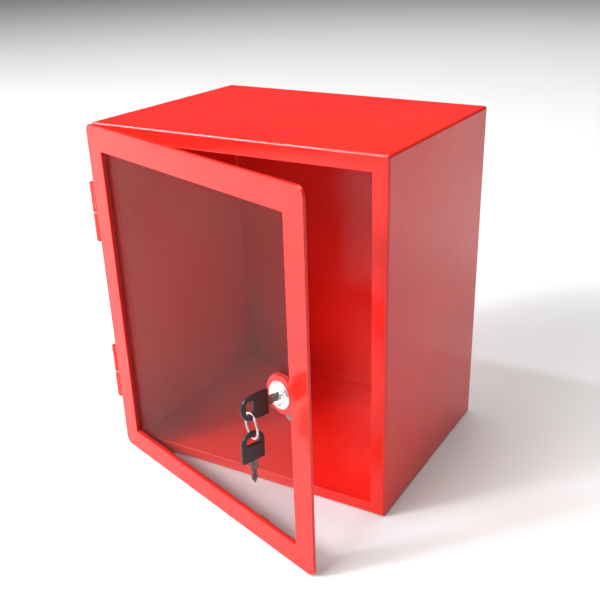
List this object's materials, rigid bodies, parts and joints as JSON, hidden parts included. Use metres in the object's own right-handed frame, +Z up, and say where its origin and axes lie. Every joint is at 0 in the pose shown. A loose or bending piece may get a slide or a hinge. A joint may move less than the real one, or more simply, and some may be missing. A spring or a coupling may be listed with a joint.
{
  "type": "glazed wall cabinet with cam lock",
  "caption": "Red sheet-steel wall cabinet with a clear-glazed hinged door, a keyed cam lock and spare key on a split ring.",
  "frame": {"origin": "middle of the cabinet's bottom face", "axes": "+Z up, the front with its door faces -Y, the door's hinges are on -X"},
  "size_m": [0.329, 0.3787, 0.36],
  "materials": {
    "red_paint": "glossy powder coat",
    "clear_pane": "clear polished acrylic sheet",
    "glazing_tape": "black foam glazing tape",
    "hinge_steel": "plain turned steel",
    "lock_chrome": "polished chrome plate",
    "zinc_plate": "bright zinc plate",
    "black_plastic": "satin moulded plastic",
    "key_nickel": "nickel-plated, dull",
    "ring_steel": "nickel-plated spring steel"
  },
  "bodies": {
    "cabinet": {"cabinet_shell": "red_paint", "back_panel": "red_paint", "hinge_top_cabinet_knuckle": "red_paint", "hinge_bottom_cabinet_knuckle": "red_paint", "hinge_top_pin": "hinge_steel", "hinge_bottom_pin": "hinge_steel", "hinge_top_washer": "hinge_steel", "hinge_bottom_washer": "hinge_steel"},
    "door": {"door_frame": "red_paint", "window_pane": "clear_pane", "glazing_tape_top": "glazing_tape", "glazing_tape_bottom": "glazing_tape", "glazing_tape_left": "glazing_tape", "glazing_tape_right": "glazing_tape", "pane_tab_1": "red_paint", "pane_tab_2": "red_paint", "pane_tab_3": "red_paint", "pane_tab_4": "red_paint", "pane_tab_5": "red_paint", "pane_tab_6": "red_paint", "pane_tab_7": "red_paint", "pane_tab_8": "red_paint", "hinge_top_door_knuckle": "red_paint", "hinge_bottom_door_knuckle": "red_paint", "lock_housing": "lock_chrome", "lock_nut": "zinc_plate", "lock_washer": "zinc_plate"},
    "lock_core": {"lock_plug": "lock_chrome", "lock_cam": "zinc_plate", "cam_washer": "zinc_plate", "cam_screw": "zinc_plate"},
    "key": {"key_bow": "black_plastic", "key_blade": "key_nickel"},
    "ring": {"key_ring": "ring_steel"},
    "spare_key": {"spare_key_bow": "black_plastic", "spare_key_blade": "key_nickel"}
  },
  "joints": [
    {"name": "door_hinge", "type": "hinge", "parent": "cabinet", "child": "door", "pos_m": [-0.16525, -0.12, 0.18], "axis": [0, 0, -1], "range_deg": [-19, 156]},
    {"name": "lock_turn", "type": "hinge", "parent": "door", "child": "lock_core", "pos_m": [0.10653, -0.2176, 0.174], "axis": [-0.3256, -0.9455, 0], "range_deg": [0, 90]},
    {"name": "key_pull", "type": "slide", "parent": "lock_core", "child": "key", "axis": [-0.3256, -0.9455, 0], "range_m": [0, 0.03]},
    {"name": "ring_swing", "type": "hinge", "parent": "key", "child": "ring", "pos_m": [0.09631, -0.24729, 0.1684], "axis": [-0.8508, 0.5255, 0], "range_deg": [-10, 45]},
    {"name": "spare_key_swing", "type": "hinge", "parent": "ring", "child": "spare_key", "pos_m": [0.09631, -0.24729, 0.146], "axis": [-0.8508, 0.5255, 0], "range_deg": [-15, 45]}
  ]
}
